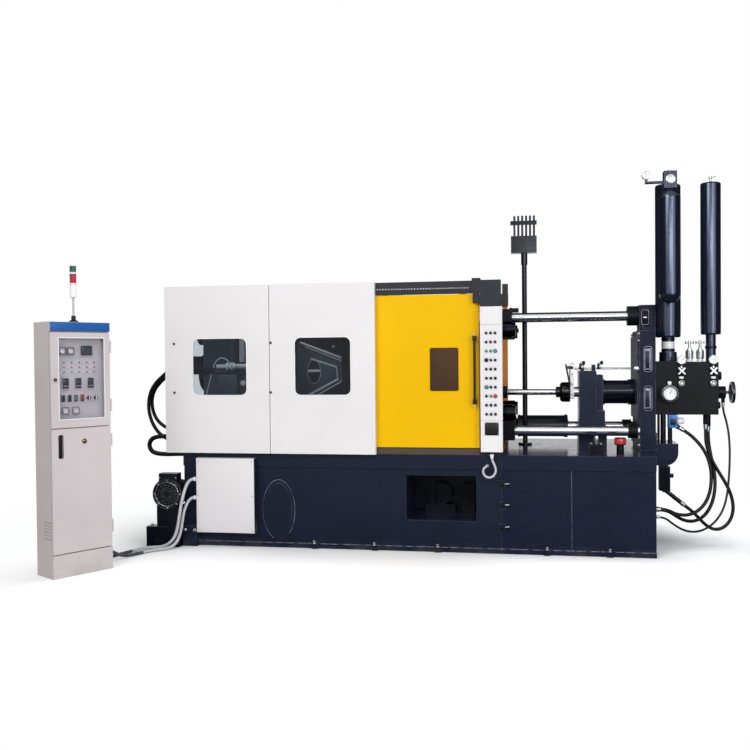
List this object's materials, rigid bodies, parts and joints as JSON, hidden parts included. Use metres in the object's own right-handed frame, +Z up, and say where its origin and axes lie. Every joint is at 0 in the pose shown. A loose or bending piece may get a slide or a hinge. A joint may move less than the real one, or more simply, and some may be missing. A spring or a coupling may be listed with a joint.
{
  "type": "cold-chamber die casting machine",
  "caption": "Cold-chamber die casting machine with covered clamp unit, sliding safety door, injection unit, accumulators and control cabinet.",
  "frame": {"origin": "on the floor, on the machine's centreline, below the die-side face of the fixed platen", "axes": "+X along the machine from the clamp end to the injection end, +Z up, -Y towards the operator"},
  "size_m": [4.499, 2.473, 2.6599],
  "materials": {
    "navy_paint": "semi-gloss dark navy machine enamel",
    "dark_paint": "gloss near-black navy enamel",
    "slate_paint": "satin dark slate enamel",
    "white_paint": "satin warm white powder coat",
    "yellow_paint": "satin golden yellow powder coat",
    "orange_paint": "satin orange enamel",
    "hard_chrome": "ground and hard-chromed rod",
    "bright_steel": "machined or plated steel",
    "cast_steel": "machined casting, lightly oiled",
    "black_plastic": "black moulded plastic",
    "grey_plastic": "lilac-grey instrument plate",
    "red_plastic": "red and green lamp lenses",
    "clear_panel": "clear polycarbonate",
    "hose_rubber": "black hydraulic hose",
    "grey_conduit": "light grey flexible conduit"
  },
  "bodies": {
    "machine": {"access_cover": "navy_paint", "accumulator": "dark_paint", "accumulator_block": "dark_paint", "bed_hose": "hose_rubber", "cabinet_body": "white_paint", "cabinet_conduit_front": "grey_conduit", "cabinet_conduit_rear": "grey_conduit", "clamp_bed": "navy_paint", "clamp_cylinder": "dark_paint", "clamp_hose_inner": "hose_rubber", "clamp_hose_lower": "hose_rubber", "clamp_hose_outer": "hose_rubber", "control_panel": "white_paint", "cover_posts": "slate_paint", "cover_windows": "clear_panel", "crosshead": "cast_steel", "door_rails": "slate_paint", "fixed_platen": "orange_paint", "front_covers": "white_paint", "hydraulic_drive": "dark_paint", "injection_bed": "navy_paint", "injection_frame": "navy_paint", "instrument_panel": "grey_plastic", "junction_box": "white_paint", "lower_return_hose": "hose_rubber", "manifold_hose": "hose_rubber", "motor_stand": "dark_paint", "moving_platen": "navy_paint", "needle_valves": "bright_steel", "nitrogen_bottle": "dark_paint", "panel_bracket": "slate_paint", "panel_buttons": "black_plastic", "panel_conduit": "grey_conduit", "pressure_gauges": "bright_steel", "pull_rods": "hard_chrome", "pump_motor": "dark_paint", "rear_accumulator": "dark_paint", "rear_cover": "white_paint", "rear_guard": "orange_paint", "rear_platen": "navy_paint", "rod_clamps": "dark_paint", "shot_block": "navy_paint", "shot_cylinder": "dark_paint", "small_valves": "dark_paint", "stack_light": "red_plastic", "tie_bars": "hard_chrome", "toggle_links": "cast_steel", "toggle_pins": "bright_steel", "upper_return_hose": "hose_rubber", "valve_manifold": "dark_paint", "water_manifold": "dark_paint"},
    "safety_door": {"safety_door": "yellow_paint", "door_window": "clear_panel", "door_handle": "black_plastic"},
    "shot_plunger": {"shot_rod": "hard_chrome", "stroke_arm": "bright_steel"},
    "handwheel": {"handwheel": "black_plastic"},
    "cabinet_upper_door": {"cabinet_upper_door": "white_paint", "cabinet_window": "clear_panel"},
    "cabinet_lower_door": {"cabinet_lower_door": "white_paint"}
  },
  "joints": [
    {"name": "safety_door_slide", "type": "slide", "parent": "machine", "child": "safety_door", "axis": [-1, 0, 0], "range_m": [0, 0.55]},
    {"name": "shot_plunger_slide", "type": "slide", "parent": "machine", "child": "shot_plunger", "axis": [-1, 0, 0], "range_m": [0, 0.3]},
    {"name": "handwheel_turn", "type": "hinge", "parent": "machine", "child": "handwheel", "pos_m": [1.85, -0.12, 1.088], "axis": [1, 0, 0], "continuous": true},
    {"name": "cabinet_upper_door_hinge", "type": "hinge", "parent": "machine", "child": "cabinet_upper_door", "pos_m": [-2.25022, -1.41258, 1.235], "axis": [0, 0, 1], "range_deg": [0, 110]},
    {"name": "cabinet_lower_door_hinge", "type": "hinge", "parent": "machine", "child": "cabinet_lower_door", "pos_m": [-2.25022, -1.41258, 0.54], "axis": [0, 0, 1], "range_deg": [0, 110]}
  ]
}
